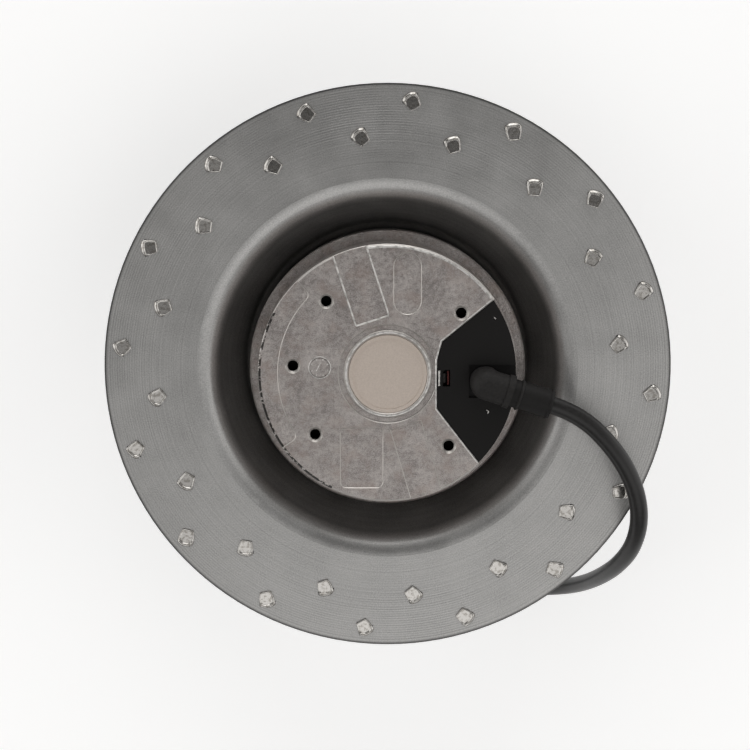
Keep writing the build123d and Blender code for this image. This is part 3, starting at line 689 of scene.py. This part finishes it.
def make_details():
    """The dial's marks, the latch in its window and two moulding pips, all in the worn finish lightened as a
    painted highlight; the red inside the latch's window in painted shade; and the lead's moulded rings.
    """
    x, y = DIAL_PLACE
    marks = drawn_lines("dial_marks", 0.2)
    ring = [(x + 4.25 * cos(2 * pi * k / 36), y + 4.25 * sin(2 * pi * k / 36), 99.0) for k in range(36)]
    line(marks, ring, closed=True)
    for k in range(8):
        turn = 2 * pi * (k + 0.5) / 8
        line(marks, [(x + r * cos(turn), y + r * sin(turn), 98.95) for r in (3.0, 3.7)])
    line(marks, [(x - 1.3, y - 1.4, 98.95), (x + 0.3, y + 1.9, 98.95)])
    make_solid(marks, WORN_AND_HIGHLIGHT_FINISH)
    latch = drawn_lines("latch_edge", 0.4)
    line(latch, [(20.1, -4.6, 98.75), (20.1, 1.4, 98.75)])
    make_solid(latch, WORN_AND_HIGHLIGHT_FINISH)
    # A darker copy of the cores' red, as painted shade inside the latch's window.
    red_in_painted_shade = plain_finish("latch_red_shaded", (0.07, 0.008, 0.006), (0.1, 0.012, 0.01), 0, 0.5)
    inside = drawn_lines("latch_inside", 0.45)
    line(inside, [(23.7, -4.4, 96.6), (23.7, 1.0, 96.6)])
    make_solid(inside, red_in_painted_shade)
    pips = drawn_lines("cover_pips", 0.22)
    line(pips, [(41.3, 22.2, 98.45), (42.0, 21.6, 98.45)])
    line(pips, [(38.7, -14.2, 98.45), (39.6, -14.9, 98.45), (39.2, -15.6, 98.45)])
    make_solid(pips, WORN_AND_HIGHLIGHT_FINISH)
    rings = drawn_lines("boot_rings", 0.55)
    for distance, radius in ((8.2, 5.9), (13.2, 5.6)):
        line(rings, lead_ring(distance, radius), closed=True)
    make_solid(rings, FINISHES["black_rubber"])
    mouth = drawn_lines("sleeve_mouth", 0.7)
    line(mouth, lead_ring(25.2, 5.2), closed=True)
    make_solid(mouth, FINISHES["sleeve_rubber"])


# Floor and light

FLOOR_GLOW = 0.43
FLOOR_REACH = 16


def make_floor():
    mesh = bpy.data.meshes.new("floor")
    corners = [(x * FLOOR_REACH, y * FLOOR_REACH, 0) for x, y in ((-1, -1), (1, -1), (1, 1), (-1, 1))]
    mesh.from_pydata(corners, [], [(0, 1, 2, 3)])
    floor = bpy.data.objects.new("floor", mesh)
    scene.collection.objects.link(floor)
    material = bpy.data.materials.new("floor_paper")
    material.use_nodes = True
    tree = material.node_tree
    shader = tree.nodes["Principled BSDF"]
    shader.inputs["Base Color"].default_value = (0.86, 0.86, 0.86, 1)
    shader.inputs["Roughness"].default_value = 0.9
    shader.inputs["Emission Color"].default_value = (1, 1, 1, 1)
    path = tree.nodes.new("ShaderNodeLightPath")
    seen = path.outputs["Is Camera Ray"]
    for ray in ("Is Glossy Ray", "Is Transmission Ray"):
        either = tree.nodes.new("ShaderNodeMath")
        either.operation = "MAXIMUM"
        tree.links.new(seen, either.inputs[0])
        tree.links.new(path.outputs[ray], either.inputs[1])
        seen = either.outputs[0]
    glow = tree.nodes.new("ShaderNodeMath")
    glow.operation = "MULTIPLY"
    glow.inputs[1].default_value = FLOOR_GLOW
    tree.links.new(seen, glow.inputs[0])
    tree.links.new(glow.outputs[0], shader.inputs["Emission Strength"])
    mesh.materials.append(material)


def toward(x, y, z):
    return Vector((x, y, z)).normalized()


# The room round the object: for each soft region its direction, its edges as cosines and its light.
# The last one is a pale band round the horizon.
ROOM_BASE = 0.17
ROOM_REGIONS = (
    (toward(0.1, -0.52, 0.85), 0.83, 0.985, 0.95),
    (toward(0.65, -0.1, 0.7), 0.80, 0.98, 0.45),
    (toward(-0.65, 0.0, 0.75), 0.80, 0.98, 0.25),
    (toward(0.0, 0.96, 0.28), 0.86, 0.96, 1.8),
    (toward(-0.9, 0.1, 0.3), 0.80, 0.97, 1.0),
    (toward(0.9, 0.1, 0.3), 0.80, 0.97, 0.8),
    (toward(0.0, 0.14, 1.0), 0.955, 0.99, -0.12),
    (toward(0.0, 0.0, -1.0), -0.2, -0.05, 0.78),
)


def make_light():
    """A soft room: the world alone lights the object, brighter in some directions."""
    world = bpy.data.worlds.new("room")
    world.use_nodes = True
    tree = world.node_tree
    way = tree.nodes.new("ShaderNodeTexCoord").outputs["Generated"]
    light = None
    for direction, low, high, amount in ROOM_REGIONS:
        dot = tree.nodes.new("ShaderNodeVectorMath")
        dot.operation = "DOT_PRODUCT"
        tree.links.new(way, dot.inputs[0])
        dot.inputs[1].default_value = direction
        band = tree.nodes.new("ShaderNodeMapRange")
        band.interpolation_type = "SMOOTHSTEP"
        tree.links.new(dot.outputs["Value"], band.inputs["Value"])
        for socket, number in zip(list(band.inputs)[1:5], (low, high, 0, amount)):
            socket.default_value = number
        total = tree.nodes.new("ShaderNodeMath")
        total.operation = "ADD"
        tree.links.new(band.outputs["Result"], total.inputs[0])
        if light:
            tree.links.new(light, total.inputs[1])
        else:
            total.inputs[1].default_value = ROOM_BASE
        light = total.outputs[0]
    tree.nodes["Background"].inputs["Color"].default_value = (1.0, 0.99, 0.975, 1)
    tree.links.new(light, tree.nodes["Background"].inputs["Strength"])
    scene.world = world


make_camera()
make_blades()
make_worn_and_highlight_edges()
make_details()
make_cable()
dress_nodes()
make_floor()
make_light()
scene.view_settings.view_transform = "Standard"
